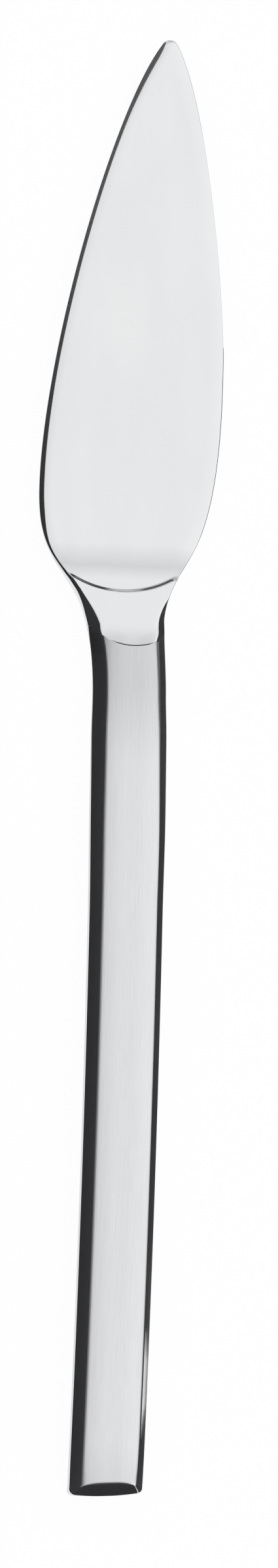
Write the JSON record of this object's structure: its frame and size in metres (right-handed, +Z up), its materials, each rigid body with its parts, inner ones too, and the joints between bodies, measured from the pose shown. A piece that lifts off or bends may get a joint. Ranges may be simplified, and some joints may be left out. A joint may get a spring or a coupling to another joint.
{
  "type": "fish knife",
  "caption": "Table fish knife: broad blunt leaf-shaped blade, short scooped neck and a slim hollow satin handle with bevelled sides and butt.",
  "frame": {"origin": "middle of the flat land on the lower handle face, on the table", "axes": "+Y along the knife towards the tip, +Z up from the table, -X on the cutting side"},
  "size_m": [0.0264, 0.2053, 0.005],
  "materials": {
    "polished_steel": "fine polish on stainless steel",
    "satin_steel": "lengthwise satin on the broad faces, polished bevels",
    "hard_solder": "silver-grey hard solder, ground flush",
    "cement": "matt grey-brown cutler's cement"
  },
  "bodies": {
    "root": {"blade": "polished_steel", "upper_handle_shell": "satin_steel", "lower_handle_shell": "satin_steel", "handle_seam_solder": "hard_solder", "shoulder_solder": "hard_solder", "tang_cement": "cement"}
  },
  "joints": []
}
